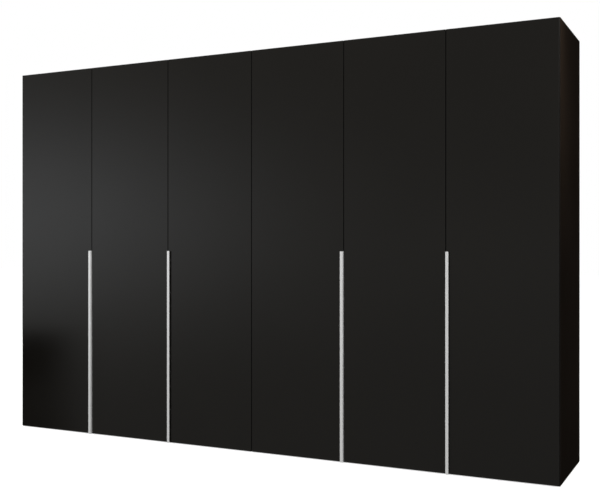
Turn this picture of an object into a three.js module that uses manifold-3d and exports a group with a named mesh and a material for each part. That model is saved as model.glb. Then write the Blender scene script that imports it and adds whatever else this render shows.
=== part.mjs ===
// A wide wardrobe: six tall overlay doors of one width on a panel carcass, with four full-grip
// strip handles on the lower half of the doors. Millimetres, +Z up, +X to the right as one faces
// the doors, the doors towards -Y. The origin is on the floor, in the middle of the overall box.
import * as THREE from "three";
import { mergeVertices } from "three/addons/utils/BufferGeometryUtils.js";
import Module from "manifold-3d";

// Overall sizes
const WIDTH = 3000;
const HEIGHT = 2010;
const CARCASS_DEPTH = 510;
const DOOR_COUNT = 6;

// Boards
const BOARD = 18; // carcass boards and doors
const HAT_SHELF_BOARD = 25;
const BACK_BOARD = 5;
const BACK_INSET = 10; // from the rear edges of the side panels
const GROOVE_DEPTH = 6;
const CLEARANCE = 0.3; // where one piece is let into another
const PLINTH_HEIGHT = 62;
const PLINTH_SETBACK = 20;
const SHELF_SETBACK = 30;

// Doors
const DOOR_GAP = 4; // between neighbouring doors
const DOOR_STANDOFF = 2; // between the doors and the carcass
const DOOR_FLOOR_GAP = 5;
const DOOR_TOP_GAP = 4;

// Strip handles: an angle with its leg on the door's free edge and its lip over the door's face
const HANDLE_LENGTH = 1000;
const HANDLE_WALL = 1.5;
const HANDLE_PROJECTION = 11; // from the door's face to the lip's
const HANDLE_LIP = 14;
const HANDLE_PROUD = 1; // how far the leg stands out of the door's edge

// Shelves and rails
const HAT_SHELF_BOTTOM = 1660;
const SHELF_BOTTOMS = [540, 1020, 1500]; // on the 32 mm raster of the pin holes
const RAIL_HEIGHT = 30;
const RAIL_WIDTH = 15;
const RAIL_WALL = 1.5;
const RAIL_DROP = 60; // from the hat shelf's underside to the rail's centre

// Concealed hinges. In a hinge's own plane u runs from the door's hinge edge towards its free edge,
// and v from the door's back face into the wardrobe.
const HINGES_PER_DOOR = 4;
const LOWEST_HINGE = 137.5;
const HINGE_PITCH = 576; // 18 steps of the 32 mm raster
const MODELLED_HINGE = 2; // counted from 0 at the bottom
const CUP = { u: 22.5, radius: 17.5, wall: 1, depth: 13, floor: 0.8, flange: 1, flangeHalf: 8, reach: 31 };
const CUP_BORE = { radius: 17.8, depth: 13.3 };
const DOOR_PIN = { u: 10.5, v: -4 };
const CARCASS_PIN = { u: 26.3, v: 6 };
const PIN_RADIUS = 1.5;
const EYE = { hole: 1.9, radius: 3 };
const LINK = { wall: 2, width: 10, bulge: 8.2, steps: 14 };
const CHEEK = { inner: 5.6, outer: 7.2, back: 14 }; // from the middle of the arm, and from its pin
const ARM = { half: 4, end: 76 };
const PLATE = { from: 26, to: 66, height: 46, thickness: 4 };

// Places worked out from the sizes
const HALF = WIDTH / 2;
const DEPTH = HANDLE_PROJECTION + BOARD + DOOR_STANDOFF + CARCASS_DEPTH;
const REAR = DEPTH / 2;
const CARCASS_FRONT = REAR - CARCASS_DEPTH;
const DOOR_BACK = CARCASS_FRONT - DOOR_STANDOFF;
const DOOR_FRONT = DOOR_BACK - BOARD;
const BACK_FRONT = REAR - BACK_INSET - BACK_BOARD;
const MODULE = WIDTH / DOOR_COUNT;
const DOOR_TOP = HEIGHT - DOOR_TOP_GAP;

const wasm = await Module();
wasm.setup();

// Materials
function material(color, roughness, metalness) {
  return new THREE.MeshStandardMaterial({ color, roughness, metalness });
}
const FRONT_LAMINATE = material(0x2b2b2a, 0.45, 0);
const CARCASS_LAMINATE = material(0x231b18, 0.5, 0);
const BACK_LAMINATE = material(0x2a2421, 0.7, 0);
const HANDLE_ALUMINIUM = material(0xd2d2d0, 0.3, 1);
const HINGE_STEEL = material(0xb9b7b0, 0.3, 1);
const RAIL_STEEL = material(0xc8c8c6, 0.2, 1);

// Solids
function toSolid(geometry) {
  const bare = geometry.clone();
  bare.deleteAttribute("normal");
  bare.deleteAttribute("uv");
  const merged = mergeVertices(bare, 1e-3);
  const mesh = new wasm.Mesh({
    numProp: 3,
    vertProperties: merged.attributes.position.array,
    triVerts: new Uint32Array(merged.index.array),
  });
  return new wasm.Manifold(mesh);
}

function toGeometry(solid) {
  const mesh = solid.getMesh();
  const geometry = new THREE.BufferGeometry();
  geometry.setAttribute("position", new THREE.BufferAttribute(mesh.vertProperties, 3));
  geometry.setIndex(new THREE.BufferAttribute(mesh.triVerts, 1));
  const flat = geometry.toNonIndexed();
  flat.computeVertexNormals();
  return flat;
}

function box(low, high) {
  const size = low.map((value, i) => Math.abs(high[i] - value));
  const middle = low.map((value, i) => (value + high[i]) / 2);
  return new THREE.BoxGeometry(...size).translate(...middle);
}

// An outline of [x, y] points, counter-clockwise or not, made into a prism from z0 to z1.
function prism(points, z0, z1) {
  const shape = new THREE.Shape(points.map(([x, y]) => new THREE.Vector2(x, y)));
  const options = { depth: z1 - z0, bevelEnabled: false };
  return new THREE.ExtrudeGeometry(shape, options).translate(0, 0, z0);
}

function upright(x, y, radius, z0, z1, sides) {
  const cylinder = new THREE.CylinderGeometry(radius, radius, z1 - z0, sides);
  return cylinder.rotateX(Math.PI / 2).translate(x, y, (z0 + z1) / 2);
}

function join(...geometries) {
  return geometries.map(toSolid).reduce((whole, next) => whole.add(next));
}

function cut(solid, ...geometries) {
  return geometries.map(toSolid).reduce((whole, next) => whole.subtract(next), solid);
}

const wardrobe = new THREE.Group();

function place(name, geometry, look) {
  const mesh = new THREE.Mesh(geometry, look);
  mesh.name = name;
  wardrobe.add(mesh);
}

// Upright boards: two sides and three partitions, each grooved for the back boards
function uprightBoard(name, x0, x1, grooveSides) {
  const board = toSolid(box([x0, CARCASS_FRONT, 0], [x1, REAR, HEIGHT]));
  const y0 = BACK_FRONT - CLEARANCE;
  const y1 = BACK_FRONT + BACK_BOARD + CLEARANCE;
  const grooves = grooveSides.map((side) => {
    const face = side < 0 ? x0 : x1;
    const across = [face - GROOVE_DEPTH, face + GROOVE_DEPTH];
    return box([across[0], y0, -1], [across[1], y1, HEIGHT + 1]);
  });
  place(name, toGeometry(cut(board, ...grooves)), CARCASS_LAMINATE);
}

uprightBoard("side_panel_left", -HALF, -HALF + BOARD, [1]);
uprightBoard("side_panel_right", HALF - BOARD, HALF, [-1]);
const PARTITIONS = { left: -MODULE, centre: 0, right: MODULE };
for (const [name, x] of Object.entries(PARTITIONS)) {
  uprightBoard("partition_" + name, x - BOARD / 2, x + BOARD / 2, [-1, 1]);
}

// Four bays between the uprights: the outer two are as wide as two doors
const BAYS = [
  { name: "1", x0: -HALF + BOARD, x1: -MODULE - BOARD / 2, wide: true },
  { name: "2", x0: -MODULE + BOARD / 2, x1: -BOARD / 2, wide: false },
  { name: "3", x0: BOARD / 2, x1: MODULE - BOARD / 2, wide: false },
  { name: "4", x0: MODULE + BOARD / 2, x1: HALF - BOARD, wide: true },
];

function level(name, bay, bottom, thickness, setback) {
  const low = [bay.x0, CARCASS_FRONT + setback, bottom];
  const high = [bay.x1, BACK_FRONT, bottom + thickness];
  place(name, box(low, high), CARCASS_LAMINATE);
}

// An oval tube across the bay, its long side upright
function hangingRail(bay) {
  const outline = (width, height) => {
    const radius = width / 2;
    const straight = height / 2 - radius;
    const oval = new THREE.Path();
    oval.absarc(straight, 0, radius, -Math.PI / 2, Math.PI / 2, false);
    oval.absarc(-straight, 0, radius, Math.PI / 2, Math.PI * 1.5, false);
    return oval.getPoints(8).slice(0, -1);
  };
  const shape = new THREE.Shape(outline(RAIL_WIDTH, RAIL_HEIGHT));
  const bore = outline(RAIL_WIDTH - 2 * RAIL_WALL, RAIL_HEIGHT - 2 * RAIL_WALL);
  shape.holes.push(new THREE.Path(bore));
  const length = bay.x1 - bay.x0 - 2 * CLEARANCE;
  const tube = new THREE.ExtrudeGeometry(shape, { depth: length, bevelEnabled: false });
  tube.rotateY(Math.PI / 2);
  const middle = (CARCASS_FRONT + BACK_FRONT) / 2;
  tube.translate(bay.x0 + CLEARANCE, middle, HAT_SHELF_BOTTOM - RAIL_DROP);
  place("hanging_rail_" + bay.name, tube, RAIL_STEEL);
}

for (const bay of BAYS) {
  level("bottom_panel_" + bay.name, bay, PLINTH_HEIGHT, BOARD, 0);
  level("top_panel_" + bay.name, bay, HEIGHT - BOARD, BOARD, 0);
  const plinthFront = CARCASS_FRONT + PLINTH_SETBACK;
  const plinth = box([bay.x0, plinthFront, 0], [bay.x1, plinthFront + BOARD, PLINTH_HEIGHT]);
  place("plinth_board_" + bay.name, plinth, CARCASS_LAMINATE);
  const reach = GROOVE_DEPTH - CLEARANCE;
  const backLow = [bay.x0 - reach, BACK_FRONT, PLINTH_HEIGHT / 2];
  const backHigh = [bay.x1 + reach, BACK_FRONT + BACK_BOARD, HEIGHT];
  place("back_panel_" + bay.name, box(backLow, backHigh), BACK_LAMINATE);
  if (bay.wide) {
    level("hat_shelf_" + bay.name, bay, HAT_SHELF_BOTTOM, HAT_SHELF_BOARD, SHELF_SETBACK);
    hangingRail(bay);
  } else {
    SHELF_BOTTOMS.forEach((bottom, i) => {
      level(`shelf_${bay.name}_${i + 1}`, bay, bottom, BOARD, SHELF_SETBACK);
    });
  }
}

// Doors. hinge is the side that the door turns on, and grip says whether it has a handle.
const DOORS = [
  { hinge: -1, grip: true, board: -HALF + BOARD },
  { hinge: 1, grip: false, board: -MODULE - BOARD / 2 },
  { hinge: 1, grip: true, board: -BOARD / 2 },
  { hinge: -1, grip: true, board: BOARD / 2 },
  { hinge: -1, grip: false, board: MODULE + BOARD / 2 },
  { hinge: 1, grip: true, board: HALF - BOARD },
];

// A strip between the two pins, bowed into the cup, so that it clears the door's back corner when
// the door is open. The bow is half a superellipse.
function linkStrip() {
  const span = Math.hypot(CARCASS_PIN.u - DOOR_PIN.u, CARCASS_PIN.v - DOOR_PIN.v);
  const along = [(CARCASS_PIN.u - DOOR_PIN.u) / span, (CARCASS_PIN.v - DOOR_PIN.v) / span];
  const bow = (turn, offset) => {
    const squared = (value) => Math.sign(value) * Math.abs(value) ** 0.8;
    const s = span / 2 - (span / 2 + offset) * squared(Math.cos(turn));
    const t = (LINK.bulge + offset) * squared(Math.sin(turn));
    return [DOOR_PIN.u + along[0] * s + along[1] * t, DOOR_PIN.v + along[1] * s - along[0] * t];
  };
  const side = (offset) => {
    return Array.from({ length: LINK.steps + 1 }, (_, n) => bow((Math.PI * n) / LINK.steps, offset));
  };
  return [...side(LINK.wall / 2), ...side(-LINK.wall / 2).reverse()];
}

// One concealed hinge in three pieces: the cup in the door, the link, and the arm on the carcass
function addHinge(name, door, atU, atV, z) {
  const slab = ([u0, u1], [v0, v1], [z0, z1]) => {
    return box([atU(u0), atV(v0), z + z0], [atU(u1), atV(v1), z + z1]);
  };
  const pin = ({ u, v }, radius, half, sides) => upright(atU(u), atV(v), radius, z - half, z + half, sides);
  const drum = (radius, from, to) => {
    const cylinder = new THREE.CylinderGeometry(radius, radius, to - from, 24);
    return cylinder.translate(atU(CUP.u), atV((from + to) / 2), z);
  };

  const flangeV = [CLEARANCE, CLEARANCE + CUP.flange];
  const flange = slab([CUP.u - CUP.flangeHalf, CUP.u + CUP.flangeHalf], flangeV, [-CUP.reach, CUP.reach]);
  const inner = CUP.radius - CUP.wall;
  const solidCup = join(drum(CUP.radius, -CUP.depth, flangeV[1]), flange);
  const hollow = cut(solidCup, drum(inner, CUP.floor - CUP.depth, flangeV[1] + 1));
  const pinEdge = CUP.u - DOOR_PIN.u + PIN_RADIUS; // the pin's outer side, from the cup's middle
  const pinHalf = Math.sqrt(inner ** 2 - pinEdge ** 2) + CUP.wall;
  const cup = hollow.add(toSolid(pin(DOOR_PIN, PIN_RADIUS, pinHalf, 10)));
  place(name + "_hinge_cup", toGeometry(cup), HINGE_STEEL);

  const half = LINK.width / 2;
  const strip = prism(linkStrip().map(([u, v]) => [atU(u), atV(v)]), z - half, z + half);
  const eyes = [DOOR_PIN, CARCASS_PIN].map((at) => pin(at, EYE.radius, half, 14));
  const holes = [DOOR_PIN, CARCASS_PIN].map((at) => pin(at, EYE.hole, half + 1, 14));
  place(name + "_hinge_link", toGeometry(cut(join(strip, ...eyes), ...holes)), HINGE_STEEL);

  const boardU = Math.abs(door.board - atU(0));
  const { u, v } = CARCASS_PIN;
  const armU = [u - ARM.half, u + ARM.half];
  const cheekV = [v - ARM.half, v + CHEEK.back];
  const arm = join(
    slab(armU, cheekV, [CHEEK.inner, CHEEK.outer]),
    slab(armU, cheekV, [-CHEEK.outer, -CHEEK.inner]),
    slab(armU, [v + CHEEK.back - 1, ARM.end], [-CHEEK.outer, CHEEK.outer]),
    slab([boardU, u], [PLATE.from, ARM.end - 6], [-CHEEK.outer, CHEEK.outer]),
    slab([boardU, boardU + PLATE.thickness], [PLATE.from, PLATE.to], [-PLATE.height / 2, PLATE.height / 2]),
    pin(CARCASS_PIN, PIN_RADIUS, CHEEK.outer, 10),
  );
  place(name + "_hinge_arm", toGeometry(arm), HINGE_STEEL);
}

DOORS.forEach((door, i) => {
  const name = "door_" + (i + 1);
  const x0 = -HALF + i * MODULE + DOOR_GAP / 2;
  const x1 = x0 + MODULE - DOOR_GAP;
  const hingeEdge = door.hinge > 0 ? x1 : x0;
  const freeEdge = door.hinge > 0 ? x0 : x1;
  const inward = -door.hinge; // the way that u runs
  const atU = (u) => hingeEdge + inward * u;
  const atV = (v) => DOOR_BACK + v;
  const hingeZ = (n) => LOWEST_HINGE + n * HINGE_PITCH;

  // The door board, bored for its hinge cups and stepped for the handle's leg
  const bores = Array.from({ length: HINGES_PER_DOOR }, (_, n) => {
    const bore = new THREE.CylinderGeometry(CUP_BORE.radius, CUP_BORE.radius, CUP_BORE.depth + 1, 24);
    const middle = atV((1 - CUP_BORE.depth) / 2);
    return bore.translate(atU(CUP.u), middle, hingeZ(n));
  });
  const board = toSolid(box([x0, DOOR_FRONT, DOOR_FLOOR_GAP], [x1, DOOR_BACK, DOOR_TOP]));
  const handleTop = DOOR_FLOOR_GAP + HANDLE_LENGTH;
  const step = HANDLE_WALL - HANDLE_PROUD + CLEARANCE;
  const edgeStep = box(
    [freeEdge - step, DOOR_FRONT - 1, 0],
    [freeEdge + step, DOOR_BACK + 1, handleTop + CLEARANCE],
  );
  const cuts = door.grip ? [...bores, edgeStep] : bores;
  place(name, toGeometry(cut(board, ...cuts)), FRONT_LAMINATE);

  // The handle's section: a leg and a lip
  if (door.grip) {
    const into = (distance) => freeEdge + door.hinge * (distance - HANDLE_PROUD);
    const front = DOOR_FRONT - HANDLE_PROJECTION;
    const section = [
      [into(0), DOOR_BACK],
      [into(0), front],
      [into(HANDLE_LIP), front],
      [into(HANDLE_LIP), front + HANDLE_WALL],
      [into(HANDLE_WALL), front + HANDLE_WALL],
      [into(HANDLE_WALL), DOOR_BACK],
    ];
    place(name + "_handle", prism(section, DOOR_FLOOR_GAP, handleTop), HANDLE_ALUMINIUM);
  }

  addHinge(name, door, atU, atV, hingeZ(MODELLED_HINGE));
});

export default wardrobe;
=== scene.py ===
import math

import bmesh
import bpy
from mathutils import Matrix, Vector


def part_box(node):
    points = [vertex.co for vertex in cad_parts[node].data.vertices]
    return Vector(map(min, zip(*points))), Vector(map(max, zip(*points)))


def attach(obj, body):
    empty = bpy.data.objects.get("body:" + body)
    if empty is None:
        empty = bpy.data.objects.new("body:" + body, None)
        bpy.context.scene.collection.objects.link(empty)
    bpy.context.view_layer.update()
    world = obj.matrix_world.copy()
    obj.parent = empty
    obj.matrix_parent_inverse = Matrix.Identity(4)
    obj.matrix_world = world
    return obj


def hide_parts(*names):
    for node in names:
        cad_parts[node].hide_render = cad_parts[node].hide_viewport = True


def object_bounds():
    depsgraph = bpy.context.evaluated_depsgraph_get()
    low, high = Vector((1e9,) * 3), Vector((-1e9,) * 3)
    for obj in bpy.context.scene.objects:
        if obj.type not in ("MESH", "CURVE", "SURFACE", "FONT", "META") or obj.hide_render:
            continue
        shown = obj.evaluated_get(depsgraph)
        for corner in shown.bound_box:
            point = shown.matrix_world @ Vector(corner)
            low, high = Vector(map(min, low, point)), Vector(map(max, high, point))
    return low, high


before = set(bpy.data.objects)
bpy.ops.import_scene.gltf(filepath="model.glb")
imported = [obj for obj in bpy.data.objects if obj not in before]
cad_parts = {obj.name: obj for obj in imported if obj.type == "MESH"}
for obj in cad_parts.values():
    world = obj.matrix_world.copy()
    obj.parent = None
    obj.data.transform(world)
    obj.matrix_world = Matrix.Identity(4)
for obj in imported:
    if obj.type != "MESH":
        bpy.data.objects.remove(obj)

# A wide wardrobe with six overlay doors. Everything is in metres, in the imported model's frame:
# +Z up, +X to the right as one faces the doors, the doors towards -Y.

CAD_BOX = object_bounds()
MM = 0.001

# Places read from the frame
CARCASS_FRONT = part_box("side_panel_left")[0].y
DOOR_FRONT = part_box("door_2")[0].y
DOOR_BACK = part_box("door_2")[1].y
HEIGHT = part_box("side_panel_left")[1].z

# Pin holes and hinges stand on one raster, as furniture fittings do
RASTER = 32 * MM
COLUMN_INSET = 37 * MM  # a column of pin holes, from an upright's front edge or the back board
PIN_DROP = 2.5 * MM  # from a shelf's underside to its pins' centres
PIN_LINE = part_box("shelf_2_1")[0].z - PIN_DROP
BACK_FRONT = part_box("back_panel_1")[0].y
HOLE_COLUMNS = (CARCASS_FRONT + COLUMN_INSET, BACK_FRONT - COLUMN_INSET)
HINGES_PER_DOOR = 4
HINGE_PITCH = 18 * RASTER
MODELLED_HINGE = 2  # the one that the frame holds, counted from 0 at the foot

# The hinge's own plane: u from the door's hinge edge towards its free edge, v from the door's
# back face into the wardrobe, in millimetres
DOOR_PIN = (10.5, -4.0)
CARCASS_PIN = (26.3, 6.0)
CUP_MIDDLE = 22.5
PIN_RADIUS = 1.5

DOORS = (
    {"name": "door_1", "hinge": -1, "grip": True, "upright": "side_panel_left"},
    {"name": "door_2", "hinge": 1, "grip": False, "upright": "partition_left"},
    {"name": "door_3", "hinge": 1, "grip": True, "upright": "partition_centre"},
    {"name": "door_4", "hinge": -1, "grip": True, "upright": "partition_centre"},
    {"name": "door_5", "hinge": -1, "grip": False, "upright": "partition_right"},
    {"name": "door_6", "hinge": 1, "grip": True, "upright": "side_panel_right"},
)
BAYS = ("1", "2", "3", "4")
WIDE_BAYS = ("1", "4")  # those behind two doors
SHELVES = (1, 2, 3)  # in each of the other bays

CAM_RADIUS = 7.4 * MM
CAM_DEPTH = 12 * MM
BEYOND = 10 * MM  # how far a cutter runs past what it cuts


# ---------------------------------------------------------------- materials

class Look:
    """A Principled material with its nodes at hand."""

    def __init__(self, name):
        self.material = bpy.data.materials.new(name)
        self.material.use_nodes = True
        self.nodes = self.material.node_tree.nodes
        self.links = self.material.node_tree.links
        self.shader = self.nodes["Principled BSDF"]
        self.place = self.nodes.new("ShaderNodeTexCoord").outputs["Object"]

    def stretched(self, scale):
        """The piece's own coordinates, scaled along each axis."""
        mapping = self.nodes.new("ShaderNodeMapping")
        mapping.inputs["Scale"].default_value = scale
        self.links.new(self.place, mapping.inputs["Vector"])
        return mapping.outputs["Vector"]

    def noise(self, scale, detail=3.0, stretch=(1, 1, 1), roughness=0.5):
        """Cloudy noise, about 0.5 in the middle."""
        node = self.nodes.new("ShaderNodeTexNoise")
        node.inputs["Scale"].default_value = scale
        node.inputs["Detail"].default_value = detail
        node.inputs["Roughness"].default_value = roughness
        self.links.new(self.stretched(stretch), node.inputs["Vector"])
        return node.outputs["Fac"]

    def cells(self, scale, stretch=(1, 1, 1), output="Distance"):
        """A pattern of cells."""
        node = self.nodes.new("ShaderNodeTexVoronoi")
        node.inputs["Scale"].default_value = scale
        self.links.new(self.stretched(stretch), node.inputs["Vector"])
        return node.outputs[output]

    def ramp(self, value, stops):
        """A colour for each value, by stops of (place, colour)."""
        node = self.nodes.new("ShaderNodeValToRGB")
        elements = node.color_ramp.elements
        while len(elements) < len(stops):
            elements.new(0.5)
        for element, (at, colour) in zip(elements, stops):
            element.position = at
            element.color = (*colour, 1)
        self.links.new(value, node.inputs["Fac"])
        return node.outputs["Color"]

    def spread(self, value, low, high, start=0.3, end=0.7):
        """Maps a value from start and end to low and high."""
        node = self.nodes.new("ShaderNodeMapRange")
        node.inputs["From Min"].default_value = start
        node.inputs["From Max"].default_value = end
        node.inputs["To Min"].default_value = low
        node.inputs["To Max"].default_value = high
        self.links.new(value, node.inputs["Value"])
        return node.outputs["Result"]

    def mixed(self, factor, first, second):
        """The first colour at factor 0, and the second at 1."""
        node = self.nodes.new("ShaderNodeMix")
        node.data_type = "RGBA"
        self.links.new(factor, node.inputs["Factor"])
        for socket, value in ((node.inputs[6], first), (node.inputs[7], second)):
            if isinstance(value, tuple):
                socket.default_value = (*value, 1)
            else:
                self.links.new(value, socket)
        return node.outputs[2]

    def sum(self, operation, first, second):
        """A sum on two values."""
        node = self.nodes.new("ShaderNodeMath")
        node.operation = operation
        self.links.new(first, node.inputs[0])
        self.links.new(second, node.inputs[1])
        return node.outputs[0]

    def bump(self, height, distance, strength=1.0):
        """Adds a relief to those that the material already has."""
        node = self.nodes.new("ShaderNodeBump")
        node.inputs["Distance"].default_value = distance
        node.inputs["Strength"].default_value = strength
        if self.shader.inputs["Normal"].links:
            self.links.new(self.shader.inputs["Normal"].links[0].from_socket, node.inputs["Normal"])
        self.links.new(height, node.inputs["Height"])
        self.links.new(node.outputs["Normal"], self.shader.inputs["Normal"])

    def colour(self, socket):
        """Sets what the colour comes from."""
        self.links.new(socket, self.shader.inputs["Base Color"])

    def roughness(self, socket):
        """Sets what the roughness comes from."""
        self.links.new(socket, self.shader.inputs["Roughness"])

    def fixed(self, **values):
        """Sets shader inputs to constants."""
        for name, value in values.items():
            self.shader.inputs[name.replace("_", " ")].default_value = value


def laminate(name, dark, light, worn, roughness, level):
    """Satin melamine laminate: cloudy colour, a fine pearl grain, and a few rubbed specks."""
    look = Look(name)
    clouds = look.noise(1.7, 4.0)
    face = look.ramp(clouds, ((0.32, dark), (0.68, light)))
    specks = look.spread(look.noise(420, 2.0), 0.0, 1.0, 0.69, 0.78)
    patches = look.spread(look.noise(5, 3.0), 0.0, 0.5, 0.5, 0.72)
    look.colour(look.mixed(look.sum("MULTIPLY", specks, patches), face, worn))
    look.roughness(look.spread(look.noise(3.1, 5.0), *roughness))
    look.bump(look.noise(1500, 2.0), 0.00002, 0.5)
    look.bump(look.noise(14, 2.0), 0.00006, 0.35)
    look.fixed(Specular_IOR_Level=level)
    return look.material


def edge_band(name, dark, light, worn, level):
    """Plastic edge band: matter than the laminate, with rubbed spots where hands and bags touch."""
    look = Look(name)
    base = look.ramp(look.noise(9, 4.0), ((0.3, dark), (0.7, light)))
    rubs = look.spread(look.noise(130, 5.0, (1, 1, 1), 0.7), 0.0, 0.5, 0.6, 0.76)
    look.colour(look.mixed(rubs, base, worn))
    look.roughness(look.spread(look.noise(60, 3.0), 0.4, 0.62))
    look.bump(look.noise(900, 2.0), 0.00003, 0.6)
    look.fixed(Specular_IOR_Level=level)
    return look.material


def anodised(name):
    """Satin anodised aluminium, drawn lengthwise: fine vertical lines and a few rubbed spots."""
    look = Look(name)
    lines = look.noise(1.0, 5.0, (2600, 2600, 9), 0.65)
    broad = look.noise(1.0, 3.0, (160, 160, 2.2))
    base = look.ramp(lines, ((0.25, (0.84, 0.84, 0.84)), (0.75, (0.94, 0.94, 0.935))))
    marks = look.spread(look.noise(38, 4.0, (1, 1, 0.5)), 0.0, 0.35, 0.62, 0.75)
    look.colour(look.mixed(marks, base, (0.74, 0.735, 0.725)))
    look.roughness(look.spread(broad, 0.22, 0.3))
    look.bump(lines, 0.00001, 0.6)
    look.fixed(Metallic=0.5, Anisotropic=0.3)
    return look.material


def plated(name, dark, light, roughness, metallic):
    """Nickel or satin chrome plate on pressed steel, slightly cloudy, with fine scratches."""
    look = Look(name)
    clouds = look.noise(70, 4.0)
    base = look.ramp(clouds, ((0.3, dark), (0.7, light)))
    scratches = look.noise(1.0, 3.0, (60, 700, 700), 0.6)
    tarnish = look.spread(look.noise(40, 4.0), 0.0, 0.3, 0.5, 0.75)
    look.colour(look.mixed(tarnish, base, (0.48, 0.465, 0.44)))
    look.roughness(look.spread(scratches, *roughness))
    look.bump(scratches, 0.000001, 0.3)
    look.fixed(Metallic=metallic)
    return look.material


def linen(name, dark, light, worn):
    """Melamine printed and pressed like linen: crossed threads of uneven thickness."""
    look = Look(name)
    thin, long = 1100, 22
    threads = [look.noise(1.0, 3.0, way, 0.6)
               for way in ((long, thin, thin), (thin, long, thin), (thin, thin, long))]
    cloth = look.sum("ADD", look.sum("ADD", threads[0], threads[1]), threads[2])
    face = look.ramp(look.spread(cloth, 0.0, 1.0, 1.2, 1.8), ((0.0, dark), (1.0, light)))
    rubs = look.spread(look.noise(7, 5.0), 0.0, 0.35, 0.55, 0.8)
    look.colour(look.mixed(rubs, face, worn))
    look.roughness(look.spread(look.noise(30, 3.0), 0.48, 0.62))
    look.bump(cloth, 0.00004, 0.5)
    look.fixed(Specular_IOR_Level=0.35)
    return look.material


def chipboard(name):
    """The raw edge of the board: flattened wood chips, coarse in the middle, with dark gaps."""
    look = Look(name)
    chips = look.cells(330, (1, 1, 0.45), "Color")
    grey = look.nodes.new("ShaderNodeRGBToBW")
    look.links.new(chips, grey.inputs["Color"])
    base = look.ramp(grey.outputs["Val"], ((0.1, (0.22, 0.13, 0.07)), (0.9, (0.55, 0.40, 0.25))))
    gaps = look.spread(look.noise(700, 4.0, (1, 1, 0.5)), 0.0, 0.85, 0.58, 0.7)
    look.colour(look.mixed(gaps, base, (0.09, 0.05, 0.03)))
    look.roughness(look.spread(look.noise(400, 3.0), 0.75, 0.95))
    look.bump(look.noise(650, 4.0), 0.0003, 0.7)
    look.fixed(Specular_IOR_Level=0.25)
    return look.material


def hardboard(name):
    """The back boards' raw rear face: brown pressed fibre with a faint screen pattern."""
    look = Look(name)
    fibres = look.noise(1.0, 6.0, (260, 260, 120), 0.7)
    base = look.ramp(fibres, ((0.3, (0.15, 0.085, 0.045)), (0.7, (0.27, 0.17, 0.10))))
    stains = look.spread(look.noise(2.2, 6.0, (1, 1, 0.4), 0.6), 0.0, 0.3, 0.45, 0.8)
    look.colour(look.mixed(stains, base, (0.12, 0.07, 0.04)))
    look.roughness(look.spread(look.noise(40, 3.0), 0.6, 0.8))
    look.bump(look.cells(520), 0.00015, 0.5)
    look.fixed(Specular_IOR_Level=0.3)
    return look.material


def silicone(name):
    """Clear buffer rubber, faintly yellowed."""
    look = Look(name)
    base = look.ramp(look.noise(300, 3.0), ((0.3, (0.50, 0.50, 0.46)), (0.7, (0.66, 0.65, 0.60))))
    look.colour(base)
    look.roughness(look.spread(look.noise(500, 2.0), 0.18, 0.35))
    look.bump(look.noise(900, 2.0), 0.00003, 0.4)
    look.fixed(Transmission_Weight=0.5)
    return look.material


def studio_floor(name):
    """A pale floor that glows a little, so that shadows on it stay faint."""
    look = Look(name)
    pale = look.ramp(look.noise(1.2, 4.0), ((0.3, (0.55, 0.55, 0.55)), (0.7, (0.58, 0.58, 0.58))))
    look.colour(pale)
    look.links.new(pale, look.shader.inputs["Emission Color"])
    look.roughness(look.spread(look.noise(6, 3.0), 0.7, 0.85))
    look.fixed(Specular_IOR_Level=0.1, Emission_Strength=1.2)
    return look.material


DOOR_FACE = laminate("door_laminate", (0.0035, 0.0029, 0.0020), (0.0043, 0.0036, 0.0026),
                     (0.016, 0.015, 0.013), (0.085, 0.105), 0.5)
DOOR_EDGE = edge_band("door_edge_band", (0.0032, 0.0031, 0.0028), (0.0052, 0.005, 0.0046),
                      (0.022, 0.021, 0.019), 0.2)
CARCASS_FACE = laminate("carcass_laminate", (0.0052, 0.0034, 0.0022), (0.0064, 0.0043, 0.0029),
                        (0.018, 0.013, 0.009), (0.38, 0.48), 0.14)
CARCASS_EDGE = edge_band("carcass_edge_band", (0.0056, 0.0042, 0.0033), (0.0082, 0.006, 0.0048),
                         (0.026, 0.02, 0.016), 0.18)
INNER_FACE = linen("inner_linen", (0.030, 0.0265, 0.0225), (0.066, 0.0585, 0.051), (0.08, 0.072, 0.064))
BACK_FACE = linen("back_linen", (0.027, 0.0238, 0.0203), (0.060, 0.0532, 0.0464), (0.073, 0.066, 0.058))
DOOR_REAR = laminate("door_rear_laminate", (0.0085, 0.0078, 0.0068), (0.0115, 0.0105, 0.0092),
                     (0.03, 0.028, 0.025), (0.34, 0.44), 0.4)
BACK_REAR = hardboard("back_hardboard")
RAW_EDGE = chipboard("raw_chipboard")
ALUMINIUM = anodised("handle_anodised")
NICKEL = plated("hinge_nickel", (0.66, 0.645, 0.61), (0.80, 0.785, 0.75), (0.34, 0.44), 0.8)
CHROME = plated("rail_satin_chrome", (0.72, 0.72, 0.72), (0.82, 0.82, 0.81), (0.28, 0.34), 0.95)
RUBBER = silicone("buffer_silicone")


# ---------------------------------------------------------------- mesh helpers

def to_object(name, bm, *materials):
    """Makes an object of a bmesh, which is used up."""
    bmesh.ops.recalc_face_normals(bm, faces=bm.faces)
    mesh = bpy.data.meshes.new(name)
    bm.to_mesh(mesh)
    bm.free()
    for material in materials:
        mesh.materials.append(material)
    made = bpy.data.objects.new(name, mesh)
    bpy.context.scene.collection.objects.link(made)
    return made


def bake_modifiers(piece):
    """Replaces the piece's mesh by what its modifiers make of it."""
    graph = bpy.context.evaluated_depsgraph_get()
    mesh = bpy.data.meshes.new_from_object(piece.evaluated_get(graph))
    old = piece.data
    piece.modifiers.clear()
    piece.data = mesh
    bpy.data.meshes.remove(old)


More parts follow.
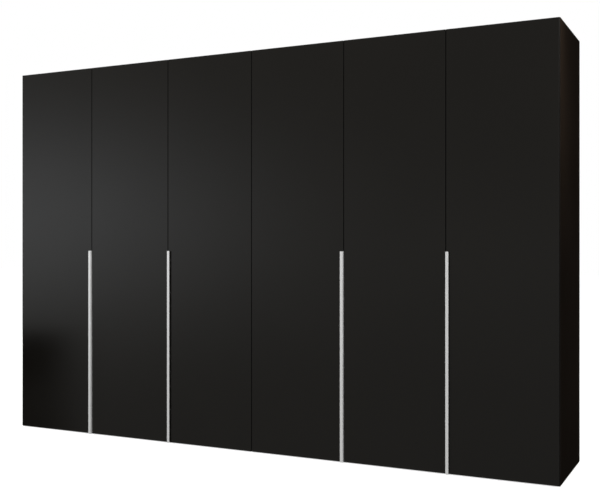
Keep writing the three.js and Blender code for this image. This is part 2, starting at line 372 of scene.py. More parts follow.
def combine(piece, other, operation):
    """A boolean of the piece with another object, which is used up."""
    modifier = piece.modifiers.new("combine", "BOOLEAN")
    modifier.operation = operation
    modifier.solver = "MANIFOLD"
    modifier.object = other
    bake_modifiers(piece)
    bpy.data.meshes.remove(other.data)
    return piece


def shade(piece, angle=35):
    """Smooth shading that keeps flat faces flat, with edges sharper than the angle kept crisp."""
    mesh = piece.data
    mesh.polygons.foreach_set("use_smooth", [True] * len(mesh.polygons))
    mesh.set_sharp_from_angle(angle=math.radians(angle))
    weighted = piece.modifiers.new("weighted", "WEIGHTED_NORMAL")
    weighted.keep_sharp = True
    bake_modifiers(piece)
    return piece


def add_box(bm, low, high, radius=0.0, segments=3):
    """A box, with its edges rounded if radius is given."""
    low, high = Vector(low), Vector(high)
    middle, size = (low + high) / 2, high - low
    matrix = Matrix.Translation(middle) @ Matrix.Diagonal((*size, 1))
    made = bmesh.ops.create_cube(bm, size=1, matrix=matrix)
    if radius:
        edges = list({e for v in made["verts"] for e in v.link_edges})
        bmesh.ops.bevel(bm, geom=edges, offset=radius, segments=segments, profile=0.5, affect="EDGES")
    return bm


def add_rod(bm, start, end, radius, sides=24, end_radius=None):
    """A round bar or cone between two points."""
    start, end = Vector(start), Vector(end)
    way = end - start
    turn = way.to_track_quat("Z", "Y").to_matrix().to_4x4()
    matrix = Matrix.Translation((start + end) / 2) @ turn
    tip = radius if end_radius is None else end_radius
    bmesh.ops.create_cone(bm, cap_ends=True, segments=sides, radius1=radius, radius2=tip,
                          depth=way.length, matrix=matrix)
    return bm


def add_prism(bm, outline, start, end, axis="Z"):
    """Extrudes a 2-D outline along an axis. Its points are (x, y), (y, z) or (z, x)."""
    spread = {
        "Z": lambda p, q, r: (p, q, r),
        "X": lambda p, q, r: (r, p, q),
        "Y": lambda p, q, r: (q, r, p),
    }[axis]
    low = [bm.verts.new(spread(p, q, start)) for p, q in outline]
    high = [bm.verts.new(spread(p, q, end)) for p, q in outline]
    bm.faces.new(low)
    bm.faces.new(high[::-1])
    count = len(outline)
    for i in range(count):
        j = (i + 1) % count
        bm.faces.new((low[j], low[i], high[i], high[j]))
    return bm


def arc(middle, radius, start, end, steps):
    """Points of an arc, with angles in degrees."""
    turns = [math.radians(start + (end - start) * i / steps) for i in range(steps + 1)]
    return [(middle[0] + radius * math.cos(t), middle[1] + radius * math.sin(t)) for t in turns]


def rounded(outline, radii, steps=5):
    """An outline with each corner rounded by its own radius."""
    made = []
    count = len(outline)
    for i, radius in enumerate(radii):
        corner = Vector(outline[i])
        before = (Vector(outline[i - 1]) - corner).normalized()
        after = (Vector(outline[(i + 1) % count]) - corner).normalized()
        if not radius:
            made.append(tuple(corner))
            continue
        half = before.angle(after) / 2
        reach = radius / math.tan(half)
        middle = corner + (before + after).normalized() * (radius / math.sin(half))
        first = corner + before * reach - middle
        last = corner + after * reach - middle
        turn = first.angle_signed(last)
        for k in range(steps + 1):
            made.append(tuple(middle + Matrix.Rotation(-turn * k / steps, 2) @ first))
    return made


def lathe(bm, profile, matrix, steps=48):
    """Turns a closed profile of (radius, height) points round the matrix's Z axis."""
    rings = []
    for radius, height in profile:
        if radius < 1e-9:
            rings.append([bm.verts.new(matrix @ Vector((0, 0, height)))])
            continue
        turns = [2 * math.pi * i / steps for i in range(steps)]
        rings.append([bm.verts.new(matrix @ Vector((radius * math.cos(t), radius * math.sin(t), height)))
                      for t in turns])
    for i, ring in enumerate(rings):
        following = rings[(i + 1) % len(rings)]
        if len(ring) == 1 and len(following) == 1:
            continue
        for k in range(steps):
            a, b = ring[k % len(ring)], ring[(k + 1) % len(ring)]
            c, d = following[(k + 1) % len(following)], following[k % len(following)]
            bm.faces.new([v for n, v in enumerate((a, b, c, d)) if v not in (a, b, c, d)[:n]])
    return bm


def paint(piece, rule):
    """Sets each face's material slot by a rule of its middle and normal."""
    for face in piece.data.polygons:
        face.material_index = rule(face.center, face.normal)


def done(piece, body, slot, *nodes):
    """Rides the piece on its body, and hides the CAD nodes that it stands for."""
    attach(piece, body)
    if nodes:
        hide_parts(*nodes)
    return piece


# ---------------------------------------------------------------- boards

def board(node, radius, rule, materials, slot, cutters=None):
    """A carcass board of a node's size, with eased edges, and cut by the cutters' bmesh if given."""
    low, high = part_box(node)
    piece = to_object(node + "_board", add_box(bmesh.new(), low, high, radius), *materials)
    if cutters:
        combine(piece, to_object("cutters", cutters, *materials), "DIFFERENCE")
    paint(piece, lambda at, normal: rule(at, normal, low, high))
    shade(piece)
    return done(piece, "carcass", slot, node)


CARCASS_LOOKS = (CARCASS_FACE, CARCASS_EDGE, RAW_EDGE, INNER_FACE)
FACE, BAND, RAW, LINEN = range(4)


def inside(at, low, high, margin):
    """Whether a point lies deeper than the margin inside a box."""
    return all(low[i] + margin < at[i] < high[i] - margin for i in range(3))


def outermost(at):
    """Whether a point lies on the wardrobe's left, right or top face."""
    reach = (at.x - CAD_BOX[0].x, CAD_BOX[1].x - at.x, HEIGHT - at.z)
    return min(reach) < 0.5 * MM


def upright_rule(at, normal, low, high):
    """Laminate outside, linen inside, a banded front edge, and raw chipboard elsewhere."""
    if inside(at, low, high, 0.4 * MM) or normal.y > 0.9 or normal.z < -0.9:
        return RAW
    if normal.y < -0.3 or normal.z > 0.9:
        return BAND
    return FACE if outermost(at) else LINEN


def level_rule(at, normal, low, high):
    """Laminate on top of the wardrobe, linen inside, a banded front edge, and raw elsewhere."""
    if abs(normal.z) > 0.7 and not inside(at, low, high, 0.4 * MM):
        return FACE if outermost(at) else LINEN
    return BAND if normal.y < -0.3 else RAW


def pin_columns(bm, face, way):
    """Rows of 5 mm holes, 11 mm deep, from top to bottom of an upright's face."""
    depth, radius, margin = 11 * MM, 2.5 * MM, 105 * MM
    first = PIN_LINE - math.floor((PIN_LINE - margin) / RASTER) * RASTER
    count = int((HEIGHT - margin - first) / RASTER) + 1
    for y in HOLE_COLUMNS:
        for k in range(count):
            z = first + k * RASTER
            add_rod(bm, (face + way * 2 * MM, y, z), (face - way * depth, y, z), radius, 16)


def groove(bm, face, way):
    """The groove that holds a back board's edge."""
    low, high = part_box("back_panel_1")
    depth, ease = 6 * MM, 0.3 * MM
    a, b = sorted((face - way * depth, face + way * 3 * MM))
    add_box(bm, (a, low.y - ease, -BEYOND), (b, high.y + ease, HEIGHT + BEYOND))


def make_uprights():
    """The sides and partitions, with grooves for the backs and rows of pin holes."""
    inner_sides = {
        "side_panel_left": (1,), "side_panel_right": (-1,),
        "partition_left": (-1, 1), "partition_centre": (-1, 1), "partition_right": (-1, 1),
    }
    for node, sides in inner_sides.items():
        low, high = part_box(node)
        holes, grooves = bmesh.new(), bmesh.new()
        for side in sides:
            face = high.x if side > 0 else low.x
            groove(grooves, face, side)
            pin_columns(holes, face, side)
        name = node + "_board"
        piece = to_object(name, add_box(bmesh.new(), low, high, 0.8 * MM), *CARCASS_LOOKS)
        for cutters in (grooves, holes):
            combine(piece, to_object("cutters", cutters, *CARCASS_LOOKS), "DIFFERENCE")
        paint(piece, lambda at, normal: upright_rule(at, normal, low, high))
        shade(piece)
        done(piece, "carcass", "carcass_laminate", node)


def cam_places(node):
    """Where the cam fittings sit in a top panel: two at each end."""
    low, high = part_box(node)
    from_end, from_edge = 34 * MM, 60 * MM
    ends = (low.x + from_end, high.x - from_end)
    rows = (low.y + from_edge, high.y - from_edge)
    return [(x, y, high.z) for x in ends for y in rows]


def make_top(bay):
    """A top panel with bores for its cam fittings, and the fittings."""
    node = "top_panel_" + bay
    ease, depth = 0.2 * MM, CAM_DEPTH + 1.2 * MM
    bores = bmesh.new()
    for x, y, z in cam_places(node):
        add_rod(bores, (x, y, z - depth), (x, y, z + BEYOND), CAM_RADIUS + ease, 32)
    board(node, 0.6 * MM, level_rule, CARCASS_LOOKS, "carcass_laminate", bores)
    make_cams(bay, cam_places(node))


def make_levels():
    """Every board that lies level, and the plinths, with the fittings that hold them."""
    for bay in BAYS:
        board("bottom_panel_" + bay, 0.6 * MM, level_rule, CARCASS_LOOKS, "carcass_laminate")
        board("plinth_board_" + bay, 0.6 * MM, lambda *given: FACE, CARCASS_LOOKS, "carcass_laminate")
        make_top(bay)
        if bay in WIDE_BAYS:
            board("hat_shelf_" + bay, 0.8 * MM, level_rule, CARCASS_LOOKS, "carcass_laminate")
            make_pins("hat_shelf_" + bay)
            make_rail(bay)
            continue
        for number in SHELVES:
            node = f"shelf_{bay}_{number}"
            board(node, 0.8 * MM, level_rule, CARCASS_LOOKS, "carcass_laminate")
            make_pins(node)


def make_backs():
    """The back boards: linen in front, raw hardboard behind."""
    front, rear, raw = range(3)

    def rule(at, normal, low, high):
        if abs(normal.y) > 0.5:
            return rear if normal.y > 0 else front
        return raw

    for bay in BAYS:
        board("back_panel_" + bay, 0.4 * MM, rule, (BACK_FACE, BACK_REAR, RAW_EDGE), "back_board")


# ---------------------------------------------------------------- doors

def door_edges(door):
    """The x of the door's hinge edge and free edge, and the way from the first to the second."""
    low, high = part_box(door["name"])
    if door["hinge"] > 0:
        return high.x, low.x, -1
    return low.x, high.x, 1


def hinge_heights(door):
    """The heights of the door's hinges, worked out from the one that the frame holds."""
    low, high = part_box(door["name"] + "_hinge_cup")
    modelled = (low.z + high.z) / 2
    return [modelled + (n - MODELLED_HINGE) * HINGE_PITCH for n in range(HINGES_PER_DOOR)]


def make_door(door):
    """A door's board, bored for its hinge cups, and stepped where a handle's leg sits."""
    name = door["name"]
    low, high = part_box(name)
    hinge_edge, free_edge, inward = door_edges(door)
    front, edge, raw, rear = range(4)
    piece = to_object(name + "_board", add_box(bmesh.new(), low, high, 0.6 * MM, 3),
                      DOOR_FACE, DOOR_EDGE, RAW_EDGE, DOOR_REAR)
    bore_radius, bore_depth, step, ease = 17.8 * MM, 13.3 * MM, 0.8 * MM, 0.3 * MM
    cutters = bmesh.new()
    for z in hinge_heights(door):
        x = hinge_edge + inward * CUP_MIDDLE * MM
        add_rod(cutters, (x, DOOR_BACK - bore_depth, z), (x, DOOR_BACK + BEYOND, z), bore_radius, 48)
    if door["grip"]:
        handle_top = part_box(name + "_handle")[1].z
        add_box(cutters, (free_edge - step, DOOR_FRONT - BEYOND, -BEYOND),
                (free_edge + step, DOOR_BACK + BEYOND, handle_top + ease))
    combine(piece, to_object("cutters", cutters), "DIFFERENCE")

    def rule(at, normal):
        if inside(at, low, high, 1.5 * MM):
            return raw
        if abs(normal.y) > 0.85:
            return rear if normal.y > 0 else front
        return edge

    paint(piece, rule)
    shade(piece)
    done(piece, name, "door_laminate", name)


def make_buffers(door):
    """Two clear buffers near the free corners of the door's back."""
    _, free_edge, inward = door_edges(door)
    x = free_edge - inward * 24 * MM
    dome = [(0, 0), (4.2, 0), (4.1, 0.5), (3.4, 1.1), (2.2, 1.45), (0, 1.6)]
    bm = bmesh.new()
    for panel in ("top_panel_1", "bottom_panel_1"):
        low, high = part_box(panel)
        z = (low.z + high.z) / 2
        matrix = Matrix.Translation((x, DOOR_BACK, z)) @ Matrix.Rotation(-math.pi / 2, 4, "X")
        lathe(bm, [(r * MM, h * MM) for r, h in dome], matrix, 24)
    piece = shade(to_object(door["name"] + "_buffers", bm, RUBBER))
    done(piece, door["name"], "door_laminate")


def make_handle(door):
    """An angle: a leg on the door's free edge, and a lip over the door's face."""
    name = door["name"] + "_handle"
    low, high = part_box(name)
    outer, inner = (high.x, low.x) if door["hinge"] < 0 else (low.x, high.x)
    into = 1 if inner > outer else -1
    wall, screws = 1.5 * MM, 5
    section = [
        (outer, high.y), (outer, low.y), (inner, low.y), (inner, low.y + wall),
        (outer + into * wall, low.y + wall), (outer + into * wall, high.y),
    ]
    radii = [r * MM for r in (0.3, 1.0, 0.5, 0.5, 0.5, 0.3)]
    bm = add_prism(bmesh.new(), rounded(section, radii), low.z, high.z)
    rims = [e for e in bm.edges if all(abs(v.co.z - low.z) < 1e-6 for v in e.verts)
            or all(abs(v.co.z - high.z) < 1e-6 for v in e.verts)]
    bmesh.ops.bevel(bm, geom=rims, offset=0.2 * MM, segments=2, profile=0.5, affect="EDGES")
    piece = to_object(door["name"] + "_grip", bm, ALUMINIUM)
    heights = [low.z + (high.z - low.z) * (n + 0.5) / screws for n in range(screws)]
    y = (DOOR_FRONT + DOOR_BACK) / 2
    holes = bmesh.new()
    for z in heights:
        add_rod(holes, (outer + into * 2 * wall, y, z), (outer - into * wall, y, z), 3.6 * MM, 24)
    combine(piece, to_object("cutters", holes, ALUMINIUM), "DIFFERENCE")
    shade(piece)
    done(piece, door["name"], "handle_aluminium", name)

    heads = bmesh.new()
    for z in heights:
        add_screw(heads, (outer + into * 0.25 * MM, y, z), (-into, 0, 0), 3.5 * MM, 1.2 * MM)
    piece = shade(to_object(door["name"] + "_grip_screws", heads, NICKEL))
    done(piece, door["name"], "hinge_steel")


def add_screw(bm, top, way, radius, depth):
    """A flat screw head whose top is at a point and faces the way, with a cross recess."""
    top, way = Vector(top), Vector(way).normalized()
    turn = way.to_track_quat("Z", "Y").to_matrix().to_4x4()
    matrix = Matrix.Translation(top) @ turn
    arm, half, sink, ease = 0.62 * radius, 0.14 * radius, 0.35 * radius, 0.12 * radius
    cross = []
    for quarter in range(4):
        turned = Matrix.Rotation(quarter * math.pi / 2, 2)
        cross += [turned @ Vector(corner) for corner in ((arm, -half), (arm, half), (half, half))]
    rim = [corner.normalized() * radius for corner in cross]

    def ring(points, height, scale=1.0):
        return [bm.verts.new(matrix @ Vector((x * scale, y * scale, height))) for x, y in points]

    floor = ring(cross, -sink, 0.8)
    mouth = ring(cross, 0)
    shoulder = ring(rim, 0, 1 - ease / radius)
    edge = ring(rim, -ease)
    base = ring(rim, -depth)
    rings = [floor, mouth, shoulder, edge, base]
    for inner, outer in zip(rings, rings[1:]):
        for i in range(len(cross)):
            j = (i + 1) % len(cross)
            bm.faces.new((inner[i], inner[j], outer[j], outer[i]))
    bm.faces.new(floor)
    bm.faces.new(base[::-1])


# ---------------------------------------------------------------- hinges

def to_hinge_place(bm, door, z):
    """Moves a mesh from the hinge's plane, (u, v, w) in millimetres, to its place on a door."""
    hinge_edge, _, inward = door_edges(door)
    for vert in bm.verts:
        u, v, w = vert.co
        vert.co = (hinge_edge + inward * u * MM, DOOR_BACK + v * MM, z + w * MM)
    return bm


def union(first, *others):
    """Joins bmeshes of closed solids into one object."""
    whole = to_object("whole", first)
    for other in others:
        combine(whole, to_object("other", other), "UNION")
    return whole


def to_bmesh(piece):
    """The mesh of an object as a bmesh. The object is used up."""
    bm = bmesh.new()
    bm.from_mesh(piece.data)
    bpy.data.meshes.remove(piece.data)
    return bm


def hull_outline(circles, steps=10):
    """The outline round several circles, as points counter-clockwise."""
    points = []
    for (x, y), radius in circles:
        turns = [2 * math.pi * i / (4 * steps) for i in range(4 * steps)]
        points += [(x + radius * math.cos(t), y + radius * math.sin(t)) for t in turns]
    points = sorted(set(points))

    def half(sequence):
        chain = []
        for p in sequence:
            while len(chain) > 1:
                (ax, ay), (bx, by) = chain[-2:]
                if (bx - ax) * (p[1] - ay) - (by - ay) * (p[0] - ax) > 0:
                    break
                chain.pop()
            chain.append(p)
        return chain[:-1]

    return half(points) + half(points[::-1])


def hinge_pin(at, half):
    """A pin across the plane of the hinge, with one half on either side."""
    return add_rod(bmesh.new(), (*at, -half), (*at, half), PIN_RADIUS, 20)


def cup_master():
    """A pressed steel cup with a flange, two screws and the pin that the link turns on."""
    profile = [(0, -13), (16.6, -13), (17.5, -12.2), (17.5, 0.3), (18.7, 0.3), (18.7, 0.8), (18.3, 1.15),
               (16.7, 1.15), (16.3, 0.8), (16.3, -11.5), (15.6, -12.2), (0, -12.2)]
    along_v = Matrix.Translation((CUP_MIDDLE, 0, 0)) @ Matrix.Rotation(-math.pi / 2, 4, "X")
    drum = lathe(bmesh.new(), profile, along_v)
    screws = [(28.5, 24), (28.5, -24)]
    outline = hull_outline([(place, 6.9) for place in screws] + [((CUP_MIDDLE, 0), 17.4)])
    flange = to_object("flange", add_prism(bmesh.new(), [(w, u) for u, w in outline], 0.3, 1.3, "Y"))
    below, above = -2, 4
    holes = add_rod(bmesh.new(), (CUP_MIDDLE, below, 0), (CUP_MIDDLE, above, 0), 16.8, 48)
    for u, w in screws:
        add_rod(holes, (u, below, w), (u, above, w), 4.3, 32)
    combine(flange, to_object("holes", holes), "DIFFERENCE")
    bm = to_bmesh(union(drum, to_bmesh(flange), hinge_pin(DOOR_PIN, 10.8)))
    for u, w in screws:
        add_screw(bm, (u, 1.25, w), (0, 1, 0), 4.0, 1.1)
    return bm


def link_master():
    """The hooked strip between the two pins, with an eye at each end."""
    span = math.dist(DOOR_PIN, CARCASS_PIN)
    way = [(CARCASS_PIN[i] - DOOR_PIN[i]) / span for i in (0, 1)]
    steps, bulge, wall, width, eye = 36, 8.2, 2.0, 10.0, 3.0

    def eased(value):
        return math.copysign(abs(value) ** 0.8, value)

    def bow(turn, offset):
        s = span / 2 - (span / 2 + offset) * eased(math.cos(turn))
        t = (bulge + offset) * eased(math.sin(turn))
        return DOOR_PIN[0] + way[0] * s + way[1] * t, DOOR_PIN[1] + way[1] * s - way[0] * t

    turns = [math.pi * i / steps for i in range(steps + 1)]
    strip = [bow(t, wall / 2) for t in turns] + [bow(t, -wall / 2) for t in reversed(turns)]
    body = add_prism(bmesh.new(), strip, -width / 2, width / 2)
    pins = (DOOR_PIN, CARCASS_PIN)
    eyes = [add_rod(bmesh.new(), (*at, -width / 2), (*at, width / 2), eye, 32) for at in pins]
    whole = union(body, *eyes)
    for at in pins:
        hole = add_rod(bmesh.new(), (*at, -width), (*at, width), PIN_RADIUS + 0.25, 24)
        combine(whole, to_object("hole", hole), "DIFFERENCE")
    return to_bmesh(whole)


def arm_master(board_u):
    """A pressed channel on a winged mounting plate, with its pin and adjusting screws.

    board_u is the u of the upright's face that the plate is screwed to.
    """
    u, v = CARCASS_PIN
    plate_thickness, end, channel_half, sheet = 2.4, 76.0, 7.2, 1.6
    top, low = u + 3.1, board_u + plate_thickness
    cheek = rounded([(v - 4, u - 3.6), (v - 4, top), (end, top), (end, low), (29, low), (22, u - 4)],
                    [3, 2, 2.5, 1.5, 2, 4], 5)
    outline = [(q, p) for p, q in cheek]
    inner = channel_half - sheet
    cheeks = [add_prism(bmesh.new(), outline, *ends)
              for ends in ((inner, channel_half), (-channel_half, -inner))]
    web = add_box(bmesh.new(), (top - sheet, v + 3.5, -channel_half), (top, end, channel_half), 0.4, 2)
    block = add_box(bmesh.new(), (board_u + 1, 27, -5.4), (top - 3.4, 70, 5.4), 0.8, 2)
    wings = hull_outline((((39, 17), 5.5), ((39, -17), 5.5), ((32, 0), 7), ((66, 0), 7.5)))
    plate = add_prism(bmesh.new(), wings, board_u, board_u + plate_thickness, "X")
    whole = union(*cheeks, web, block, plate, hinge_pin(CARCASS_PIN, 7.9))
    slot = hull_outline((((30, 0), 2.4), ((36, 0), 2.4)))
    combine(whole, to_object("slot", add_prism(bmesh.new(), slot, top - 2.5, top + 1, "X")), "DIFFERENCE")
    bm = to_bmesh(whole)
    for along in (48, 64):
        add_screw(bm, (top + 0.9, along, 0), (1, 0, 0), 3.6, 1.4)
    for w in (16, -16):
        add_screw(bm, (board_u + 3.3, 39, w), (1, 0, 0), 3.6, 1.1)
    return bm


def make_hinges():
    """Four hinges on each door. The frame holds one of them, and the others are copies of it."""
    masters = {"cup": cup_master(), "link": link_master()}
    for door in DOORS:
        name = door["name"]
        hinge_edge, _, inward = door_edges(door)
        low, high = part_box(door["upright"])
        face = high.x if inward > 0 else low.x
        board_u = abs(face - hinge_edge) / MM
        arm_kind = f"arm_{board_u:.0f}"
        if arm_kind not in masters:
            masters[arm_kind] = arm_master(board_u)
        riders = (("cup", "cup", name), ("link", "link", name + "_hinge_link"), ("arm", arm_kind, "carcass"))
        for number, z in enumerate(hinge_heights(door)):
            for part, kind, body in riders:
                bm = to_hinge_place(masters[kind].copy(), door, z)
                piece = shade(to_object(f"{name}_hinge_{number + 1}_{part}", bm, NICKEL))
                nodes = [f"{name}_hinge_{part}"] if number == MODELLED_HINGE else []
                done(piece, body, "hinge_steel", *nodes)
    for bm in masters.values():
        bm.free()


# ---------------------------------------------------------------- fittings

def oval(width, height, steps=16):
    """An upright oval's outline as (y, z) points."""
    radius = width / 2
    straight = height / 2 - radius
    return arc((0, straight), radius, 0, 180, steps) + arc((0, -straight), radius, 180, 360, steps)


def add_level_prism(bm, outline, middle, start, end):
    """Extrudes a (y, z) outline, moved to a middle, along X between two ends in either order."""
    moved = [(y + middle[0], z + middle[1]) for y, z in outline]
    return add_prism(bm, moved, *sorted((start, end)), "X")


def make_rail(bay):
    """The oval hanging rail and its two sockets."""
    node = "hanging_rail_" + bay
    low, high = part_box(node)
    middle = ((low.y + high.y) / 2, (low.z + high.z) / 2)
    width, height, wall = high.y - low.y, high.z - low.z, 1.2 * MM
    tube = add_level_prism(bmesh.new(), oval(width, height), middle, low.x, high.x)
    rail = to_object(node + "_tube", tube, CHROME)
    hollow = oval(width - 2 * wall, height - 2 * wall)
    bore = add_level_prism(bmesh.new(), hollow, middle, low.x - BEYOND, high.x + BEYOND)
    combine(rail, to_object("bore", bore), "DIFFERENCE")
    done(shade(rail), "carcass", "rail_steel", node)
    bay_low, bay_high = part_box("bottom_panel_" + bay)
    for number, (face, way) in enumerate(((bay_low.x, 1), (bay_high.x, -1))):
        make_socket(f"rail_socket_{bay}_{number + 1}", face, way, middle, width, height)


def make_socket(name, face, way, middle, width, height):
    """A rail's socket on an upright's face: a screwed plate, and a collar round the rail's end."""
    rim, collar_depth, ease = 2.5 * MM, 11 * MM, 0.25 * MM
    half_width, half_height, corner, thickness = 9 * MM, 31 * MM, 8.5 * MM, 2.4 * MM
    screw_rise, screw_radius, screw_depth = 25.5 * MM, 3.4 * MM, 1.2 * MM
    collar = add_level_prism(bmesh.new(), oval(width + 2 * rim, height + 2 * rim), middle,
                             face, face + way * collar_depth)
    corners = [(-half_width, -half_height), (half_width, -half_height),
               (half_width, half_height), (-half_width, half_height)]
    plate = add_level_prism(bmesh.new(), rounded(corners, [corner] * 4, 8), middle,
                            face, face + way * thickness)
    socket = union(collar, plate)
    seat = add_level_prism(bmesh.new(), oval(width + 2 * ease, height + 2 * ease), middle,
                           face - way * BEYOND, face + way * (collar_depth + BEYOND))
    combine(socket, to_object("seat", seat), "DIFFERENCE")
    bm = to_bmesh(socket)
    for rise in (-screw_rise, screw_rise):
        top = (face + way * (thickness + 0.8 * MM), middle[0], middle[1] + rise)
        add_screw(bm, top, (way, 0, 0), screw_radius, screw_depth)
    done(shade(to_object(name, bm, CHROME)), "carcass", "rail_steel")


def make_pins(node):
    """Four shelf pins: a plug in the upright's hole, a collar, and a spoon under the shelf."""
    low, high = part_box(node)
    z = low.z - PIN_DROP
    plug, collar, spoon = 2.35 * MM, 2.42 * MM, 2.4 * MM
    bm = bmesh.new()
    for face, way in ((low.x, 1), (high.x, -1)):
        for y in HOLE_COLUMNS:
            add_rod(bm, (face - way * 8 * MM, y, z), (face + way * 1.2 * MM, y, z), plug, 16)
            add_rod(bm, (face + way * 0.1 * MM, y, z), (face + way * 1.3 * MM, y, z), collar, 24)
            near, far = sorted((face + way * 1 * MM, face + way * 9 * MM))
            add_box(bm, (near, y - spoon, z - spoon), (far, y + spoon, z + spoon), 0.5 * MM, 2)
    done(shade(to_object(node + "_pins", bm, NICKEL)), "carcass", "hinge_steel")


def make_cams(bay, places):
    """Cam fittings in the top panel, just under its face."""
    bm = bmesh.new()
    for x, y, z in places:
        add_screw(bm, (x, y, z - 0.4 * MM), (0, 0, 1), CAM_RADIUS, CAM_DEPTH)
    done(shade(to_object("top_cams_" + bay, bm, NICKEL)), "carcass", "hinge_steel")


# ---------------------------------------------------------------- the whole wardrobe

make_uprights()
make_levels()
make_backs()
for door in DOORS:
    make_door(door)
    make_buffers(door)
    if door["grip"]:
        make_handle(door)
make_hinges()


# ---------------------------------------------------------------- camera, floor and light

# The light from all round that matt surfaces get
EVEN_GLOW = 0.6

# The room that glossy surfaces reflect. Turns are in radians from straight ahead of the doors, with
# left negative. Rises are the sine of the angle above the horizon, and depths the same towards +Y.
LAMP_TURN, LAMP_RISE = (-0.768, 0.232), (0.036, 0.109)  # each a middle and a half width
LAMP_GLOW, LAMP_TINT = 0.67, (0.96, 1.0, 1.05)
ROOM_GLOW, ROOM_TINT = 0.245, (1.02, 1.0, 0.96)
BAND_GLOW, BAND_RISE = 0.06, (-0.02, 0.10)  # along the horizon: a middle and a half width
SIDES_GLOW, SIDES_MIDDLE = 0.9, -0.45
SIDES_START, SIDES_DEPTH = (0.62, 0.85), (-0.75, -0.4)  # where they fade in, and where they fade out
CEILING_GLOW, CEILING_RISE = 0.9, (0.4, 0.75)
CORNER_TURN, CORNER_RISE = (-0.679, -0.737), (-0.084, -0.092)  # where it fades in
CORNER_FOOT, CORNER_FOOT_DEPTH = (-0.160, -0.115), 0.80  # where it fades a little again, lower down
BEHIND_GLOW, BEHIND_DEPTH = 0.02, (-0.15, 0.35)  # what is left of the room behind the wardrobe


def make_camera():
    """Stands right of the wardrobe's middle at chest height, and looks level and to the left."""
    data = bpy.data.cameras.new("camera")
    data.sensor_width = 36.0
    data.lens = 54.21
    data.shift_y = -0.00725
    camera = bpy.data.objects.new("camera", data)
    camera.location = (2.200, -4.201, 1.025)
    camera.rotation_euler = (math.radians(90), 0, math.radians(26.096))
    bpy.context.scene.collection.objects.link(camera)
    bpy.context.scene.camera = camera


def make_floor():
    """A wide floor that only the camera sees, and that takes the wardrobe's shadow."""
    reach, thickness = 30, 0.05
    bm = add_box(bmesh.new(), (-reach, -reach, -thickness), (reach, reach, 0))
    floor = to_object("studio_floor", bm, studio_floor("studio_floor"))
    floor.visible_glossy = False
    floor.visible_diffuse = False


def make_light(name, place, target, size, power):
    """A soft rectangular light that no reflection and no picture shows."""
    data = bpy.data.lights.new(name, "AREA")
    data.shape = "RECTANGLE"
    data.size, data.size_y = size
    data.energy = power
    light = bpy.data.objects.new(name, data)
    light.location = place
    light.rotation_euler = (Vector(target) - Vector(place)).to_track_quat("-Z", "Y").to_euler()
    light.visible_camera = False
    light.visible_glossy = False
    bpy.context.scene.collection.objects.link(light)


class Sky:
    """The world's nodes: sums on the direction a ray looks in."""

    def __init__(self):
        world = bpy.data.worlds.new("studio")
        world.use_nodes = True
        bpy.context.scene.world = world
        self.nodes, self.links = world.node_tree.nodes, world.node_tree.links
        self.nodes.clear()

    def sum(self, operation, *values):
        """A sum on numbers and sockets."""
        node = self.nodes.new("ShaderNodeMath")
        node.operation = operation
        for socket, value in zip(node.inputs, values):
            if isinstance(value, (int, float)):
                socket.default_value = value
            else:
                self.links.new(value, socket)
        return node.outputs[0]

    def ease(self, value, start, end, low=0.0, high=1.0):
        """Low before the start, high past the end, and a smooth step between."""
        node = self.nodes.new("ShaderNodeMapRange")
        node.interpolation_type = "SMOOTHSTEP"
        for name, number in (("From Min", start), ("From Max", end), ("To Min", low), ("To Max", high)):
            node.inputs[name].default_value = number
        self.links.new(value, node.inputs["Value"])
        return node.outputs["Result"]

    def light(self, strength, colour=(1, 1, 1)):
        """A glow of one colour, with its strength a number or a socket."""
        node = self.nodes.new("ShaderNodeBackground")
        node.inputs["Color"].default_value = (*colour, 1)
        if isinstance(strength, (int, float)):
            node.inputs["Strength"].default_value = strength
        else:
            self.links.new(strength, node.inputs["Strength"])
        return node.outputs[0]

    def both(self, first, second):
        """Two glows together."""
        node = self.nodes.new("ShaderNodeAddShader")
        for socket, value in zip(node.inputs, (first, second)):
            self.links.new(value, socket)
        return node.outputs[0]

    def choose(self, factor, first, second):
        """The first glow at factor 0, and the second at 1."""
        node = self.nodes.new("ShaderNodeMixShader")
        for socket, value in zip(node.inputs, (factor, first, second)):
            self.links.new(value, socket)
        return node.outputs[0]


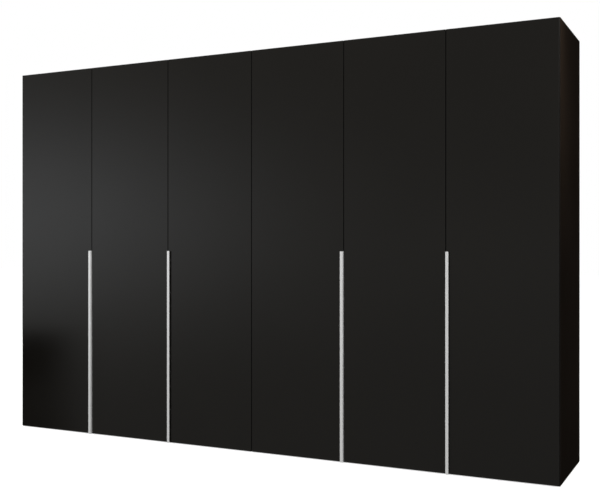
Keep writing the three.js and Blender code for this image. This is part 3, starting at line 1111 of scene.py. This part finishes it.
def make_world():
    """White behind everything, even light from all round, and a dim room in the reflections.

    The room has a wide soft light low on the left, a dark corner below it, brighter sides, and a
    bright ceiling.
    """
    sky = Sky()
    rays = sky.nodes.new("ShaderNodeLightPath").outputs
    look = sky.nodes.new("ShaderNodeSeparateXYZ")
    sky.links.new(sky.nodes.new("ShaderNodeTexCoord").outputs["Generated"], look.inputs[0])
    x, y, z = look.outputs
    turn = sky.sum("ARCTAN2", x, sky.sum("MULTIPLY", y, -1.0))

    def off(value, middle, width):
        """How far a value is from the middle, in widths, squared."""
        apart = sky.sum("ABSOLUTE", sky.sum("SUBTRACT", value, middle))
        return sky.sum("POWER", sky.sum("DIVIDE", apart, width), 2.0)

    def glow(*offs):
        """A bell-shaped glow: 1 in the middle, and 0 far off."""
        total = sky.sum("ADD", *offs) if len(offs) > 1 else offs[0]
        return sky.sum("EXPONENT", sky.sum("MULTIPLY", total, -1.0))

    corner = sky.sum("MULTIPLY", sky.ease(turn, *CORNER_TURN), sky.ease(z, *CORNER_RISE))
    corner = sky.sum("MULTIPLY", corner, sky.ease(z, *CORNER_FOOT, CORNER_FOOT_DEPTH, 1.0))
    ahead = sky.ease(y, *BEHIND_DEPTH, 1.0, BEHIND_GLOW)
    front = sky.sum("MULTIPLY", sky.sum("SUBTRACT", 1.0, corner), ahead)
    lamp = sky.sum("MULTIPLY", glow(off(turn, *LAMP_TURN), off(z, *LAMP_RISE)), LAMP_GLOW)
    band = sky.sum("MULTIPLY", glow(off(z, *BAND_RISE)), BAND_GLOW)
    room = sky.sum("MULTIPLY", sky.sum("ADD", band, ROOM_GLOW), front)
    aside = sky.sum("ABSOLUTE", sky.sum("SUBTRACT", turn, SIDES_MIDDLE))
    sides = sky.sum("MULTIPLY", sky.ease(aside, *SIDES_START, 0.0, SIDES_GLOW),
                    sky.ease(y, *SIDES_DEPTH, 1.0, 0.0))
    room = sky.sum("ADD", sky.sum("ADD", room, sides), sky.ease(z, *CEILING_RISE, 0.0, CEILING_GLOW))
    room = sky.both(sky.light(room, ROOM_TINT), sky.light(sky.sum("MULTIPLY", lamp, front), LAMP_TINT))
    seen = sky.choose(rays["Is Glossy Ray"], sky.light(EVEN_GLOW), room)
    output = sky.nodes.new("ShaderNodeOutputWorld")
    sky.links.new(sky.choose(rays["Is Camera Ray"], seen, sky.light(1.0)), output.inputs["Surface"])


make_camera()
make_floor()
make_world()
make_light("softbox_left", (-4.7, -4.3, 2.3), (-1.2, -0.3, 1.3), (1.6, 1.4), 90)
make_light("softbox_top", (0.3, -1.5, 4.3), (0.2, 0, 0), (3.0, 2.0), 130)
make_light("strip_right", (1.66, -0.27, 1.85), (1.5, -0.22, 1.8), (0.05, 1.2), 3.5)
make_light("softbox_right", (7.0, -0.4, 2.0), (1.5, 0, 1.0), (3.0, 3.0), 190)
make_light("softbox_rear", (-7.0, 1.4, 2.0), (-1.5, 0.2, 1.0), (3.0, 3.0), 190)
bpy.context.scene.view_settings.view_transform = "Standard"
bpy.context.scene.view_settings.look = "None"
